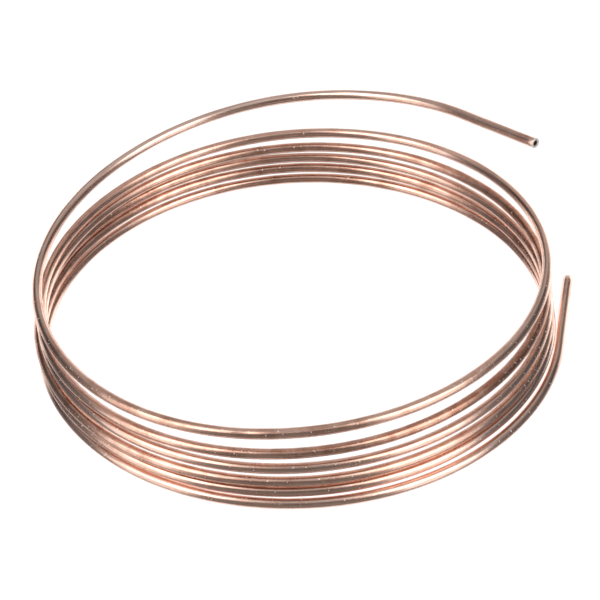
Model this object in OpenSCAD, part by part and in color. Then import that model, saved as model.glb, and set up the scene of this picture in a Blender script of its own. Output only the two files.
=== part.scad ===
// Loose coil of thin soft copper tube, one piece, lying flat with its axis upright.
// The path is a chain of quarter turns. Each quarter turn is a flat arc, rolled a little about the
// tube's own direction so that the turns climb, and the ends run out straight to plain square cuts.

/* [Tube] */
// Outside diameter of the tube
tube_od = 3; // [2:0.1:4]
// Wall thickness of the tube
tube_wall = 0.5; // [0.3:0.05:0.8]

/* [Coil] */
// Bend radius of the turns, to the middle of the tube
coil_r = 74; // [50:1:110]

/* [Ends] */
// Length of the straight lower end
lower_end_l = 32; // [10:1:60]
// Length of the straight upper end
upper_end_l = 30; // [10:1:60]
// Share of the upper end's length that runs back inwards, which sets how far the tube turns before it
upper_end_turn_share = 0.6; // [0.28, 0.352, 0.5376, 0.6]

/* [Hidden] */
$fn = 48;

// For each turn, bottom to top, as shares of the tube's diameter.
// How far it rises: packed below, sprung open above
turn_rise_shares = [2.1, 0.85, 1.75, 2.15, 2.45, 8.8];
// How far it drops at the left
turn_drop_shares = [0, 0.2, 0, 0.7, 1.05, 1.6];
// How far it moves over to the left
turn_shift_shares = [0, 0.15, 0.15, 0.15, -0.15, 0.1];
// How far it opens out beyond the bend radius
turn_open_shares = [0.3, 0.3, 0.3, 0, 0, 0];
// How far the lower end lies outside the turn above it
lower_end_shift_share = 0.95;

tube_id = tube_od - 2 * tube_wall;
quarters_per_turn = 4;
quarter_angle = 90;
turn_count = len(turn_rise_shares);
// The last turn stops a quarter short, where the upper end begins
quarter_count = quarters_per_turn * turn_count - 1;
// The first half turn lies flat on the floor
flat_quarters = 2;
lower_end_shift = tube_od * lower_end_shift_share;
upper_end_sweep = asin(upper_end_turn_share);
path_step_angle = 5;
// Each bend starts this little early, so that it overlaps what it follows
overlap_angle = 0.00001;
// The cosine of a roll is kept to a whole number of steps, so that the tubes meet truly at each joint
cosine_step_count = 1000000;

function turn_of(i) = floor(i / quarters_per_turn);
function in_turn(i) = i % quarters_per_turn;

// Bend radius of quarter turn i: wider on a turn's front half and tighter on its back half moves it over,
// and the half turn on the floor is wider still, which sets the lower end outside the turn above it
function bend_r(i) = coil_r
    + tube_od * turn_open_shares[turn_of(i)]
    + (in_turn(i) < quarters_per_turn / 2 ? 1 : -1) * turn_shift_shares[turn_of(i)] * tube_od / quarters_per_turn
    + (i < flat_quarters ? lower_end_shift / 2 : 0);

// Rise of one whole turn at joint j, read between the backs of the turns
function turn_rise(j) = tube_od * lookup(j, [
    for (k = [0 : turn_count - 1]) [quarters_per_turn * (k + 1) - 1, turn_rise_shares[k]]
]);

// Slope of the tube at joint j, as an angle: each quarter turn climbs two radii times its tangent
function slope(j) = j <= flat_quarters ? 0 : atan(turn_rise(j) / (2 * quarters_per_turn * coil_r));

// Angle that tips the turn starting at joint i down at its left
function tip(i) = in_turn(i) == 0 ? atan(turn_drop_shares[turn_of(i)] * tube_od / (2 * coil_r)) : 0;

// Roll about the tube's direction at joint i, which carries the slope on into the next quarter turn
function stepped(angle) = sign(angle) * acos(round(cosine_step_count * cos(angle)) / cosine_step_count);
function roll(i) = i < flat_quarters ? 0 : stepped(slope(i + 1) + slope(i - 1) - tip(i));

// A joint is a place on the path with its forward, inward and upward directions
function rolled(at, angle) = [
    at[0],
    at[1],
    cos(angle) * at[2] + sin(angle) * at[3],
    cos(angle) * at[3] - sin(angle) * at[2]
];
function swept(at, r, angle) = [
    at[0] + r * (sin(angle) * at[1] + (1 - cos(angle)) * at[2]),
    cos(angle) * at[1] + sin(angle) * at[2],
    cos(angle) * at[2] - sin(angle) * at[1],
    at[3]
];
function joint(i) = i == 0
    ? [[0, 0, 0], [0, -1, 0], [-1, 0, 0], [0, 0, 1]]
    : swept(rolled(joint(i - 1), roll(i - 1)), bend_r(i - 1), quarter_angle);

// The path from end to end, in steps fine enough to find how far it reaches
upper_bend_start = rolled(joint(quarter_count), roll(quarter_count));
upper_bend_end = swept(upper_bend_start, coil_r, upper_end_sweep);
path_points = concat(
    [[0, lower_end_l, 0]],
    [for (i = [0 : quarter_count - 1])
        let (start = rolled(joint(i), roll(i)))
        for (angle = [0 : path_step_angle : quarter_angle]) swept(start, bend_r(i), angle)[0]],
    [for (angle = [0 : path_step_angle : upper_end_sweep]) swept(upper_bend_start, coil_r, angle)[0]],
    [upper_bend_end[0] + upper_end_l * upper_bend_end[1]]
);
function middle(axis) = let (reach = [for (p = path_points) p[axis]]) (min(reach) + max(reach)) / 2;

module section() {
    difference() {
        circle(d = tube_od);
        circle(d = tube_id);
    }
}

module straight_run(length) {
    linear_extrude(height = length) section();
}

// A quarter turn from the origin towards -Y, about a centre on the -X side
module quarter_bend(r) {
    translate([-r, 0, 0]) rotate([0, 0, -quarter_angle])
        rotate_extrude(angle = quarter_angle + overlap_angle) translate([r, 0]) section();
}

// Turns its children round the middle of a quarter turn, to where that turn has swept by an angle
module around_bend(r, angle) {
    translate([-r, 0, 0]) rotate([0, 0, -angle]) translate([r, 0, 0]) children();
}

// The last bend is a quarter turn cut short, with the straight end carried on from the cut
module upper_end() {
    cut_block = 2 * coil_r;
    rotate([0, roll(quarter_count), 0]) {
        difference() {
            quarter_bend(coil_r);
            around_bend(coil_r, upper_end_sweep + overlap_angle)
                translate([-coil_r, -cut_block, -cut_block / 2]) cube(cut_block);
        }
        around_bend(coil_r, upper_end_sweep) rotate([90, 0, 0]) straight_run(upper_end_l);
    }
}

// Quarter turn i and all that follows it
module turns_from(i) {
    if (i == quarter_count) {
        upper_end();
    } else {
        rotate([0, roll(i), 0]) {
            quarter_bend(bend_r(i));
            translate([-bend_r(i), -bend_r(i), 0]) rotate([0, 0, -quarter_angle]) turns_from(i + 1);
        }
    }
}

// The tube stands on Z = 0, with the middle of its footprint on the Z axis
module copper_tube() {
    color("#b87352")
        translate([-middle(0), -middle(1), tube_od / 2]) {
            rotate([-90, 0, 0]) straight_run(lower_end_l);
            turns_from(0);
        }
}

copper_tube();
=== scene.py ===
import math

import bpy
from mathutils import Matrix, Vector, noise


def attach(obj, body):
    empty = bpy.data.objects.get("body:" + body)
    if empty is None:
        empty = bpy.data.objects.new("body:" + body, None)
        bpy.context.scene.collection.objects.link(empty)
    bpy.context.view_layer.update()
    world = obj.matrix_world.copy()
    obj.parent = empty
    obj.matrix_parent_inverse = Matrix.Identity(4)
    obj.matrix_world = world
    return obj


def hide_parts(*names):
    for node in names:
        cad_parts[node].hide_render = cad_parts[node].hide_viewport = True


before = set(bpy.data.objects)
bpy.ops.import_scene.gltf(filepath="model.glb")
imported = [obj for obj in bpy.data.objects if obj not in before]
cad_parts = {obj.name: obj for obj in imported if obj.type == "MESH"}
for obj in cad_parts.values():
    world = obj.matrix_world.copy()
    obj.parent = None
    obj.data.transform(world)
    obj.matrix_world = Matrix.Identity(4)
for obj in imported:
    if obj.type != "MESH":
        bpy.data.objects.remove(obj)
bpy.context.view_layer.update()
scene = bpy.context.scene
scene.view_settings.view_transform = "Standard"


# Camera
# It looks down at the coil from in front and a little to the right, from far enough away
# that the near and far sides of the coil look almost the same size.

CAMERA_AZIMUTH = math.radians(11.59)
CAMERA_ELEVATION = math.radians(38.24)
CAMERA_ROLL = math.radians(-3.10)
CAMERA_DISTANCE = 0.6943
CAMERA_AIM = Vector((0.0, 0.0, 0.010))
AIM_RIGHT = 0.00054
AIM_BACK = 0.00264
SENSOR_WIDTH = 36.0
IMAGE_SIDE = 600
FOCAL_PIXELS = 2354.6


def from_front(azimuth, elevation):
    """The direction from the coil's middle out to a place round it; azimuth 0 is in front of the coil."""
    return Vector((
        math.sin(azimuth) * math.cos(elevation),
        -math.cos(azimuth) * math.cos(elevation),
        math.sin(elevation),
    ))


camera_back = from_front(CAMERA_AZIMUTH, CAMERA_ELEVATION)
level_right = Vector((math.cos(CAMERA_AZIMUTH), math.sin(CAMERA_AZIMUTH), 0.0))
level_back = Vector((0.0, 0.0, 1.0)).cross(level_right)
camera_up = camera_back.cross(level_right)
camera_turn = Matrix((level_right, camera_up, camera_back)).transposed()
camera_turn = camera_turn @ Matrix.Rotation(CAMERA_ROLL, 3, "Z")

camera_data = bpy.data.cameras.new("camera")
camera_data.sensor_width = SENSOR_WIDTH
camera_data.lens = FOCAL_PIXELS / IMAGE_SIDE * SENSOR_WIDTH
camera = bpy.data.objects.new("camera", camera_data)
camera.matrix_world = Matrix.LocRotScale(
    CAMERA_AIM + AIM_RIGHT * level_right + AIM_BACK * level_back + CAMERA_DISTANCE * camera_back,
    camera_turn.to_quaternion(),
    None,
)
scene.collection.objects.link(camera)
scene.camera = camera


# Floor and studio light
# The coil lies on a pale see-through acrylic sheet in a grey room that is paler in front and overhead.
# A white sweep fills the view below and behind it, and two tall softboxes stand in front, left and right.

FLOOR_HALF_WIDTH = 6.0
FLOOR_COLOUR = "#f2f2f0"
FLOOR_HAZE = 0.16
ROOM_COLOUR = "#53575e"
# The parts of the room that aren't that grey, each laid over the ones before it. In degrees: how far round
# from the camera its middle is, how high, how far from there it is full and how far out it has faded.
# Then its colour and its strength
ROOM_PARTS = (
    # The wall in front and the ceiling
    (0, 18, 25, 72, "#716f6d", 1.0),
    (0, 102, 25, 70, "#c0c2c4", 1.0),
    # The dark back corners
    (-136, 18, 8, 32, "#2e3136", 1.0),
    (136, 18, 8, 32, "#2e3136", 1.0),
    # The bright middles of the two softboxes
    (-57, 42, 4, 26, "#ffffff", 1.9),
    (54, 42, 4, 26, "#ffffff", 1.9),
    # The sweep, behind and below, and its brighter left and right sides
    (163, -18, 35, 50, "#ffffff", 1.17),
    (180, -72, 35, 50, "#ffffff", 1.17),
    (-148, -12, 14, 28, "#ffffff", 1.7),
    (148, -12, 14, 28, "#ffffff", 2.2),
)
SOFTBOX_WIDTH = 0.7
SOFTBOX_HEIGHT = 2.5
SOFTBOX_DISTANCE = 1.0
SOFTBOX_ELEVATION = math.radians(17)
SOFTBOX_RADIANCE = 1.35
LEFT_BOX_AZIMUTH = CAMERA_AZIMUTH - math.radians(63)
RIGHT_BOX_AZIMUTH = CAMERA_AZIMUTH + math.radians(50)


def linear(hex_colour):
    """An sRGB hex colour as the linear RGBA that shaders take."""
    parts = [int(hex_colour[i:i + 2], 16) / 255 for i in (1, 3, 5)]
    return (*[p / 12.92 if p <= 0.04045 else ((p + 0.055) / 1.055) ** 2.4 for p in parts], 1.0)


def add(tree, kind, inputs=None, **settings):
    """Adds a node with its settings. Each input is set to a value, or linked to an output given for it."""
    made = tree.nodes.new(kind)
    for name, value in settings.items():
        setattr(made, name, value)
    for name, value in (inputs or {}).items():
        if isinstance(value, bpy.types.NodeSocket):
            tree.links.new(value, made.inputs[name])
        else:
            made.inputs[name].default_value = value
    return made


pale_acrylic = bpy.data.materials.new("pale_acrylic_sheet")
pale_acrylic.use_nodes = True
tree = pale_acrylic.node_tree
tree.nodes.clear()
clear = add(tree, "ShaderNodeBsdfTransparent")
haze = add(tree, "ShaderNodeBsdfDiffuse", {"Color": linear(FLOOR_COLOUR)})
sheet = add(tree, "ShaderNodeMixShader", {0: FLOOR_HAZE, 1: clear.outputs[0], 2: haze.outputs[0]})
add(tree, "ShaderNodeOutputMaterial", {"Surface": sheet.outputs[0]})

floor_mesh = bpy.data.meshes.new("floor")
floor_mesh.from_pydata(
    [(x * FLOOR_HALF_WIDTH, y * FLOOR_HALF_WIDTH, 0.0) for x, y in ((-1, -1), (1, -1), (1, 1), (-1, 1))],
    [], [(0, 1, 2, 3)],
)
floor_mesh.materials.append(pale_acrylic)
floor = bpy.data.objects.new("floor", floor_mesh)
scene.collection.objects.link(floor)

room = bpy.data.worlds.new("grey_room")
room.use_nodes = True
scene.world = room
tree = room.node_tree
tree.nodes.clear()
way = add(tree, "ShaderNodeTexCoord")
shown = add(tree, "ShaderNodeBackground", {"Color": linear(ROOM_COLOUR), "Strength": 1.0})
for azimuth, elevation, full, faded, colour, strength in ROOM_PARTS:
    aim = from_front(CAMERA_AZIMUTH + math.radians(azimuth), math.radians(elevation))
    toward = add(tree, "ShaderNodeVectorMath", {
        0: way.outputs["Generated"], 1: aim,
    }, operation="DOT_PRODUCT")
    spread = add(tree, "ShaderNodeMapRange", {
        "Value": toward.outputs["Value"],
        "From Min": math.cos(math.radians(faded)), "From Max": math.cos(math.radians(full)),
    }, interpolation_type="SMOOTHSTEP")
    part = add(tree, "ShaderNodeBackground", {"Color": linear(colour), "Strength": strength})
    shown = add(tree, "ShaderNodeMixShader", {
        0: spread.outputs[0], 1: shown.outputs[0], 2: part.outputs[0],
    })
add(tree, "ShaderNodeOutputWorld", {"Surface": shown.outputs[0]})

for name, azimuth in (("left_softbox", LEFT_BOX_AZIMUTH), ("right_softbox", RIGHT_BOX_AZIMUTH)):
    box_light = bpy.data.lights.new(name, "AREA")
    box_light.shape = "RECTANGLE"
    box_light.size = SOFTBOX_WIDTH
    box_light.size_y = SOFTBOX_HEIGHT
    box_light.energy = SOFTBOX_RADIANCE * math.pi * SOFTBOX_WIDTH * SOFTBOX_HEIGHT
    lamp = bpy.data.objects.new(name, box_light)
    outward = from_front(azimuth, SOFTBOX_ELEVATION)
    lamp.matrix_world = Matrix.LocRotScale(
        outward * SOFTBOX_DISTANCE, outward.to_track_quat("Z", "Y"), None
    )
    scene.collection.objects.link(lamp)


# Copper tube
# One length of soft drawn copper tube, 3 mm across with a 0.5 mm wall, sawn square at both ends.
# It was wound by hand into six loose turns, which lie close at the bottom and spring open at the top.

TUBE_OD = 0.003
TUBE_WALL = 0.0005
COIL_R = 0.074
LOWER_END_LENGTH = 0.032
UPPER_END_LENGTH = 0.030
UPPER_END_TURN_SHARE = 0.6

# For each turn, bottom to top, as shares of the tube's diameter: its rise, its drop at the left,
# its move over to the left and how far it opens out; then how far the lower end lies outside
TURN_RISE_SHARES = (2.1, 0.85, 1.75, 2.15, 2.45, 8.8)
TURN_DROP_SHARES = (0, 0.2, 0, 0.7, 1.05, 1.6)
TURN_SHIFT_SHARES = (0, 0.15, 0.15, 0.15, -0.15, 0.1)
TURN_OPEN_SHARES = (0.3, 0.3, 0.3, 0, 0, 0)
LOWER_END_SHIFT_SHARE = 0.95

QUARTERS_PER_TURN = 4
QUARTER = math.pi / 2
QUARTER_COUNT = QUARTERS_PER_TURN * len(TURN_RISE_SHARES) - 1
FLAT_QUARTERS = 2
LOWER_END_SHIFT = LOWER_END_SHIFT_SHARE * TUBE_OD
# The cosine of a roll is kept to a whole number of these steps
COSINE_STEPS = 1000000
UPPER_END_SWEEP = math.asin(UPPER_END_TURN_SHARE)
RING_SPACING = 0.0021
TUBE_SIDES = 32

# The saw's cut: its edges are barely rounded, and it turned a burr inwards round each mouth of the bore.
# The burr leaves the outer share of the wall plain, and is ragged in a few lobes round the mouth
CUT_EDGE_ROUND = 0.00006
CUT_EDGE_ANGLE = math.radians(60)
SHARP_ANGLE = math.radians(35)
BURR_WIDTH = 0.00025
PLAIN_WALL_SHARE = 0.8
BURR_MEAN = 0.6
BURR_RAGGEDNESS = 0.7
BURR_LOBES = 2.5

# The hand-wound tube wanders by less than half the gap between its turns
WANDER = 0.00009
WANDER_LENGTH = 0.035
WANDER_SEED = 4

# A knock left one small kink in the front of the top turn
KINK_RUN = 2.494
KINK_LENGTH = 0.0025
KINK_DEPTH = 0.00022


def bend_radius(i):
    """Bend radius of quarter turn i."""
    turn, in_turn = divmod(i, QUARTERS_PER_TURN)
    opening = TURN_OPEN_SHARES[turn] * TUBE_OD
    shift = TURN_SHIFT_SHARES[turn] * TUBE_OD / QUARTERS_PER_TURN
    front_half = in_turn < QUARTERS_PER_TURN / 2
    on_floor = LOWER_END_SHIFT / 2 if i < FLAT_QUARTERS else 0.0
    return COIL_R + opening + (shift if front_half else -shift) + on_floor


def slope(j):
    """Slope of the tube at joint j, from the rise of a turn read between the backs of the turns."""
    if j <= FLAT_QUARTERS:
        return 0.0
    turns_up = (j + 1) / QUARTERS_PER_TURN - 1
    last = len(TURN_RISE_SHARES) - 1
    below = min(max(math.floor(turns_up), 0), last)
    above = min(below + 1, last)
    share = max(turns_up - below, 0.0)
    rise = TURN_RISE_SHARES[below] * (1 - share) + TURN_RISE_SHARES[above] * share
    return math.atan(rise * TUBE_OD / (2 * QUARTERS_PER_TURN * COIL_R))


def roll(i):
    """Roll about the tube's direction at joint i, which lifts the next quarter turn."""
    if i < FLAT_QUARTERS:
        return 0.0
    drop = TURN_DROP_SHARES[i // QUARTERS_PER_TURN] if i % QUARTERS_PER_TURN == 0 else 0.0
    angle = slope(i + 1) + slope(i - 1) - math.atan(drop * TUBE_OD / (2 * COIL_R))
    return math.copysign(math.acos(round(COSINE_STEPS * math.cos(angle)) / COSINE_STEPS), angle)


def rolled(at, angle):
    """A joint (place, forward, inward, up) rolled about its forward direction."""
    place, forward, inward, up = at
    c, s = math.cos(angle), math.sin(angle)
    return place, forward, c * inward + s * up, c * up - s * inward


def swept(at, radius, angle):
    """A joint carried on round a bend."""
    place, forward, inward, up = at
    c, s = math.cos(angle), math.sin(angle)
    return (
        place + radius * (s * forward + (1 - c) * inward),
        c * forward + s * inward,
        c * inward - s * forward,
        up,
    )


def steps(length):
    """Equal shares from 0 up to, not including, 1 that are about a ring apart over a length."""
    count = max(1, round(length / RING_SPACING))
    return [k / count for k in range(count)]


at = (Vector((0, 0, 0)), Vector((0, -1, 0)), Vector((-1, 0, 0)), Vector((0, 0, 1)))
route = [Vector((0, LOWER_END_LENGTH * (1 - share), 0)) for share in steps(LOWER_END_LENGTH)]
bends = [(bend_radius(i), QUARTER, roll(i)) for i in range(QUARTER_COUNT)]
bends.append((COIL_R, UPPER_END_SWEEP, roll(QUARTER_COUNT)))
for radius, sweep, lift in bends:
    at = rolled(at, lift)
    route += [swept(at, radius, sweep * share)[0] for share in steps(radius * sweep)]
    at = swept(at, radius, sweep)
route += [at[0] + UPPER_END_LENGTH * share * at[1] for share in steps(UPPER_END_LENGTH)]
route.append(at[0] + UPPER_END_LENGTH * at[1])

# The tube stands on the floor, with the middle of its footprint on the Z axis
middle = [(min(p[k] for p in route) + max(p[k] for p in route)) / 2 for k in range(2)]
route = [p + Vector((-middle[0], -middle[1], TUBE_OD / 2)) for p in route]

runs = [0.0]
for here, there in zip(route, route[1:]):
    runs.append(runs[-1] + (there - here).length)

# It wanders inwards only, and up and down only where it is off the floor. The noise that it follows
# would differ from run to run without a seed
noise.seed_set(WANDER_SEED)
wound = []
for place, run in zip(route, runs):
    loose = noise.noise_vector(Vector((run / WANDER_LENGTH, 0.0, 0.0)))
    inward = -Vector((place.x, place.y, 0.0)).normalized()
    lifted = min(1.0, (place.z - TUBE_OD / 2) / TUBE_OD)
    kink = KINK_DEPTH * math.exp(-((run - KINK_RUN) / KINK_LENGTH) ** 2)
    wound.append(
        place + (WANDER * (0.5 + 0.5 * loose.x) + kink) * inward
        + lifted * (WANDER * loose.y - kink) * Vector((0, 0, 1))
    )

route_mesh = bpy.data.meshes.new("copper_tube_route")
route_mesh.from_pydata(wound, [(k, k + 1) for k in range(len(wound) - 1)], [])
route_mesh.attributes.new("run", "FLOAT", "POINT").data.foreach_set("value", runs)

# Drawn copper, softened by heating and then handled: bright, with fine lines left along it by the
# die, browner over some lengths where it has begun to tarnish, and with small pale marks that are partly
# scuffs and partly painted glints.
# Both ends are freshly sawn, so their faces are pale and rough.
COPPER = "#f3c6b1"
BRIGHT_COPPER = "#fcd8c7"
BROWN_COPPER = "#bd876f"
# The pale colour of the sawn faces, the scuffs and the painted glints
PALE_SCUFF_AND_GLINT = "#f6ebe5"
BROWN_ROUGHNESS = 0.29
BRIGHT_ROUGHNESS = 0.19
RUBBED_ROUGHNESS = 0.55

# Tarnish comes and goes over about 350 mm, with a share of 6 mm patches mixed in. The mix, from 0 to 1,
# is brown, plain copper and bright at these places, and its polish changes between the last two
TARNISH_LENGTH = 0.35
TARNISH_PATCH = 0.006
PATCH_SHARE = 0.45
BROWN_AT = 0.34
COPPER_AT = 0.5
BRIGHT_AT = 0.66
DULLEST_AT = 0.3
SHINIEST_AT = 0.7

# The die's lines are 0.4 mm wide, which is twice as coarse as real ones, because those are too fine to show.
# They run thirty times as far as they are wide, and the darkest keep this share of the colour
DIE_LINE = 0.0004
DIE_LINE_STRETCH = 30
DIE_LINE_DEPTH = 0.00005
DIE_LINE_RELIEF = 0.8
DARK_LINE_AT = 0.35
PALE_LINE_AT = 0.65
DARK_LINE_SHADE = 0.74

# The surface is split into cells of about 1 mm, and some hold a pale mark, partly a scuff and partly a
# painted glint. These are the shares of cells without one, on the tube's sides and where it faces out and up
# by more than a given cosine, and how far the patches draw the marks into clusters
SCUFF_AND_GLINT_SPACING = 0.001
HANDLED_AND_LIT_LIFT = 0.7
HANDLED_AND_LIT_FROM = 0.6
SPARED_AT_SIDES = 0.96
SPARED_WHERE_HANDLED_AND_LIT = 0.6
SCUFF_AND_GLINT_CLUSTERING = 2.2
# A pale mark's full middle, and where the smallest and largest end, as shares of its cell
SCUFF_AND_GLINT_MIDDLE = 0.1
SMALLEST_SCUFF_AND_GLINT = 0.16
LARGEST_SCUFF_AND_GLINT = 0.34

SAWN_LENGTH = 0.00035

drawn_copper = bpy.data.materials.new("drawn_copper_tube")
drawn_copper.use_nodes = True
tree = drawn_copper.node_tree
tree.nodes.clear()
# The tube as if it were straight: X and Y across it and Z along it, in metres
across = add(tree, "ShaderNodeAttribute", attribute_name="across")
along = add(tree, "ShaderNodeAttribute", attribute_name="run")
split = add(tree, "ShaderNodeSeparateXYZ", {0: across.outputs["Vector"]})
straight = add(tree, "ShaderNodeCombineXYZ", {
    "X": split.outputs["X"], "Y": split.outputs["Y"], "Z": along.outputs["Fac"],
})
lengths = add(tree, "ShaderNodeTexNoise", {
    "W": along.outputs["Fac"], "Scale": 1 / TARNISH_LENGTH, "Detail": 1.0, "Roughness": 0.5,
}, noise_dimensions="1D")
patches = add(tree, "ShaderNodeTexNoise", {
    "Vector": straight.outputs[0], "Scale": 1 / TARNISH_PATCH, "Detail": 4.0, "Roughness": 0.65,
})
worn = add(tree, "ShaderNodeMix", {0: PATCH_SHARE, 2: lengths.outputs["Fac"], 3: patches.outputs["Fac"]})
tarnish = add(tree, "ShaderNodeValToRGB", {"Fac": worn.outputs[0]})
tarnish.color_ramp.elements[0].position = BROWN_AT
tarnish.color_ramp.elements[0].color = linear(BROWN_COPPER)
tarnish.color_ramp.elements[1].position = BRIGHT_AT
tarnish.color_ramp.elements[1].color = linear(BRIGHT_COPPER)
tarnish.color_ramp.elements.new(COPPER_AT).color = linear(COPPER)

# The die's lines, along the tube
stretch = add(tree, "ShaderNodeMapping", {
    "Vector": straight.outputs[0], "Scale": (1.0, 1.0, 1 / DIE_LINE_STRETCH),
})
lines = add(tree, "ShaderNodeTexNoise", {
    "Vector": stretch.outputs[0], "Scale": 1 / DIE_LINE, "Detail": 3.0, "Roughness": 0.6,
})
shade = add(tree, "ShaderNodeMapRange", {
    "Value": lines.outputs["Fac"],
    "From Min": DARK_LINE_AT, "From Max": PALE_LINE_AT, "To Min": DARK_LINE_SHADE, "To Max": 1.0,
})
lined = add(tree, "ShaderNodeMix", {
    0: 1.0, 6: tarnish.outputs["Color"], 7: shade.outputs[0],
}, data_type="RGBA", blend_type="MULTIPLY")

# A pale mark is partly a scuff, a small flat rub, pale and rough, and partly a painted glint.
# Most are on the side of the tube that faces out and up, where the coil is handled and where the highlights
# run, so there they are painted glints as well as scuffs
cells = add(tree, "ShaderNodeTexVoronoi", {"Vector": straight.outputs[0], "Scale": 1 / SCUFF_AND_GLINT_SPACING})
chosen = add(tree, "ShaderNodeSeparateColor", {0: cells.outputs["Color"]})
handled_and_lit = add(tree, "ShaderNodeAttribute", attribute_name="handled_and_lit")
spared = add(tree, "ShaderNodeMapRange", {
    "Value": handled_and_lit.outputs["Fac"],
    "From Min": HANDLED_AND_LIT_FROM, "From Max": 1.0, "To Min": SPARED_AT_SIDES, "To Max": SPARED_WHERE_HANDLED_AND_LIT,
})
clusters = add(tree, "ShaderNodeMath", {
    0: patches.outputs["Fac"], 1: SCUFF_AND_GLINT_CLUSTERING, 2: -SCUFF_AND_GLINT_CLUSTERING / 2,
}, operation="MULTIPLY_ADD")
limit = add(tree, "ShaderNodeMath", {0: spared.outputs[0], 1: clusters.outputs[0]}, operation="ADD")
few = add(tree, "ShaderNodeMath", {0: chosen.outputs[0], 1: limit.outputs[0]}, operation="GREATER_THAN")
size = add(tree, "ShaderNodeMapRange", {
    "Value": chosen.outputs[1], "To Min": SMALLEST_SCUFF_AND_GLINT, "To Max": LARGEST_SCUFF_AND_GLINT,
})
small = add(tree, "ShaderNodeMapRange", {
    "Value": cells.outputs["Distance"],
    "From Min": SCUFF_AND_GLINT_MIDDLE, "From Max": size.outputs[0], "To Min": 1.0, "To Max": 0.0,
})
scuffs_and_glints = add(tree, "ShaderNodeMath", {0: few.outputs[0], 1: small.outputs[0]}, operation="MULTIPLY")

# The sawn faces and the burr beside them
from_start = add(tree, "ShaderNodeMath", {0: along.outputs["Fac"], 1: SAWN_LENGTH}, operation="LESS_THAN")
from_finish = add(tree, "ShaderNodeMath", {
    0: along.outputs["Fac"], 1: runs[-1] - SAWN_LENGTH,
}, operation="GREATER_THAN")
sawn = add(tree, "ShaderNodeMath", {0: from_start.outputs[0], 1: from_finish.outputs[0]}, operation="ADD")
# The sawn faces, the scuffs and the painted glints all take the pale colour and the rubbed roughness
rubbed_and_glints = add(tree, "ShaderNodeMath", {0: sawn.outputs[0], 1: scuffs_and_glints.outputs[0]}, operation="MAXIMUM")
surface = add(tree, "ShaderNodeMix", {
    0: rubbed_and_glints.outputs[0], 6: lined.outputs[2], 7: linear(PALE_SCUFF_AND_GLINT),
}, data_type="RGBA")

relief = add(tree, "ShaderNodeBump", {
    "Height": lines.outputs["Fac"], "Strength": DIE_LINE_RELIEF, "Distance": DIE_LINE_DEPTH,
})
polish = add(tree, "ShaderNodeMapRange", {
    "Value": worn.outputs[0],
    "From Min": DULLEST_AT, "From Max": SHINIEST_AT, "To Min": BROWN_ROUGHNESS, "To Max": BRIGHT_ROUGHNESS,
})
dulled = add(tree, "ShaderNodeMix", {0: rubbed_and_glints.outputs[0], 2: polish.outputs[0], 3: RUBBED_ROUGHNESS})
copper = add(tree, "ShaderNodeBsdfPrincipled", {
    "Base Color": surface.outputs[2], "Metallic": 1.0,
    "Roughness": dulled.outputs[0], "Normal": relief.outputs[0],
})
add(tree, "ShaderNodeOutputMaterial", {"Surface": copper.outputs[0]})

# The tube's skin is a ring drawn along the route. It carries its place across the tube, and how nearly
# it faces out from the coil and up, which places the scuffs and the painted glints
tube_tree = bpy.data.node_groups.new("tube_along_route", "GeometryNodeTree")
face = tube_tree.interface
face.new_socket("Route", in_out="INPUT", socket_type="NodeSocketGeometry")
diameter_input = face.new_socket("Outside Diameter", in_out="INPUT", socket_type="NodeSocketFloat")
sides_input = face.new_socket("Sides", in_out="INPUT", socket_type="NodeSocketInt")
face.new_socket("Tube", in_out="OUTPUT", socket_type="NodeSocketGeometry")
given = add(tube_tree, "NodeGroupInput")
path = add(tube_tree, "GeometryNodeMeshToCurve", {"Mesh": given.outputs["Route"]})
half = add(tube_tree, "ShaderNodeMath", {
    0: given.outputs["Outside Diameter"], 1: 2.0,
}, operation="DIVIDE")
ring = add(tube_tree, "GeometryNodeCurvePrimitiveCircle", {
    "Resolution": given.outputs["Sides"], "Radius": half.outputs[0],
})
place = add(tube_tree, "GeometryNodeInputPosition")
marked = add(tube_tree, "GeometryNodeStoreNamedAttribute", {
    "Geometry": ring.outputs["Curve"], "Name": "across", "Value": place.outputs[0],
}, data_type="FLOAT_VECTOR", domain="POINT")
skin = add(tube_tree, "GeometryNodeCurveToMesh", {
    "Curve": path.outputs["Curve"], "Profile Curve": marked.outputs["Geometry"],
})
outside = add(tube_tree, "GeometryNodeInputNormal")
level = add(tube_tree, "ShaderNodeVectorMath", {
    0: place.outputs[0], 1: (1.0, 1.0, 0.0),
}, operation="MULTIPLY")
outward_way = add(tube_tree, "ShaderNodeVectorMath", {0: level.outputs[0]}, operation="NORMALIZE")
out_and_up = add(tube_tree, "ShaderNodeVectorMath", {
    0: outward_way.outputs[0], 1: (0.0, 0.0, HANDLED_AND_LIT_LIFT),
}, operation="ADD")
handled_and_lit_way = add(tube_tree, "ShaderNodeVectorMath", {0: out_and_up.outputs[0]}, operation="NORMALIZE")
facing = add(tube_tree, "ShaderNodeVectorMath", {
    0: outside.outputs[0], 1: handled_and_lit_way.outputs[0],
}, operation="DOT_PRODUCT")
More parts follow.
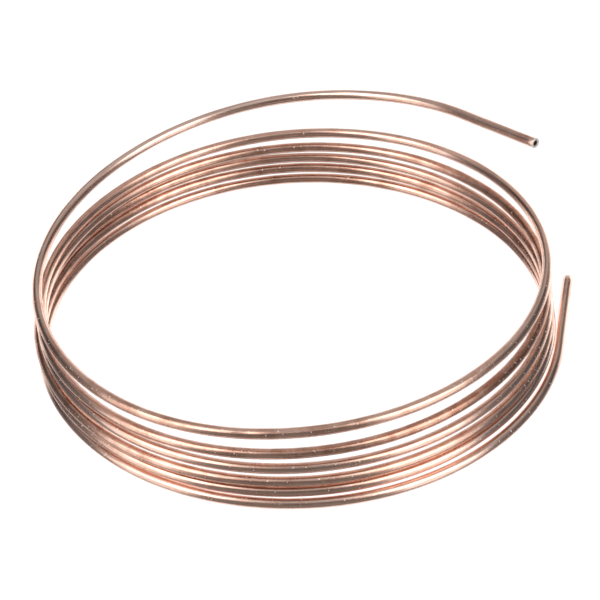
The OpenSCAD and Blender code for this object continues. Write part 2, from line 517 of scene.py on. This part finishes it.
# How nearly the skin faces out and up, the handled and lit side where the painted glints gather
known = add(tube_tree, "GeometryNodeStoreNamedAttribute", {
    "Geometry": skin.outputs["Mesh"], "Name": "handled_and_lit", "Value": facing.outputs["Value"],
}, data_type="FLOAT", domain="POINT")
smooth = add(tube_tree, "GeometryNodeSetShadeSmooth", {"Geometry": known.outputs["Geometry"]})
real = add(tube_tree, "GeometryNodeRealizeInstances", {"Geometry": smooth.outputs["Geometry"]})
coated = add(tube_tree, "GeometryNodeSetMaterial", {
    "Geometry": real.outputs["Geometry"], "Material": drawn_copper,
})
add(tube_tree, "NodeGroupOutput", {"Tube": coated.outputs["Geometry"]})

maker = bpy.data.objects.new("copper_tube_route", route_mesh)
scene.collection.objects.link(maker)
drawn = maker.modifiers.new("tube", "NODES")
drawn.node_group = tube_tree
drawn[diameter_input.identifier] = TUBE_OD
drawn[sides_input.identifier] = TUBE_SIDES
wall = maker.modifiers.new("wall", "SOLIDIFY")
wall.thickness = TUBE_WALL
wall.offset = -1.0
wall.use_even_offset = True
rounding = maker.modifiers.new("cut_edges", "BEVEL")
rounding.width = CUT_EDGE_ROUND
rounding.segments = 2
rounding.limit_method = "ANGLE"
rounding.angle_limit = CUT_EDGE_ANGLE

tube_mesh = bpy.data.meshes.new_from_object(maker.evaluated_get(bpy.context.evaluated_depsgraph_get()))
tube_mesh.name = "copper_tube"
bpy.data.objects.remove(maker)

# The burr
for mouth, inside in ((wound[0], wound[1]), (wound[-1], wound[-2])):
    axis = (inside - mouth).normalized()
    for corner in tube_mesh.vertices:
        reach = corner.co - mouth
        depth = reach.dot(axis)
        outward = reach - depth * axis
        in_bore = outward.length < TUBE_OD / 2 - TUBE_WALL * PLAIN_WALL_SHARE
        if reach.length < TUBE_OD and depth < BURR_WIDTH and in_bore:
            ragged = BURR_MEAN + BURR_RAGGEDNESS * noise.noise(BURR_LOBES * outward.normalized() + mouth)
            corner.co -= BURR_WIDTH * ragged * outward.normalized()
tube_mesh.set_sharp_from_angle(angle=SHARP_ANGLE)
tube = bpy.data.objects.new("coiled_copper_tube", tube_mesh)
scene.collection.objects.link(tube)
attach(tube, "root")
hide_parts("copper_tube")
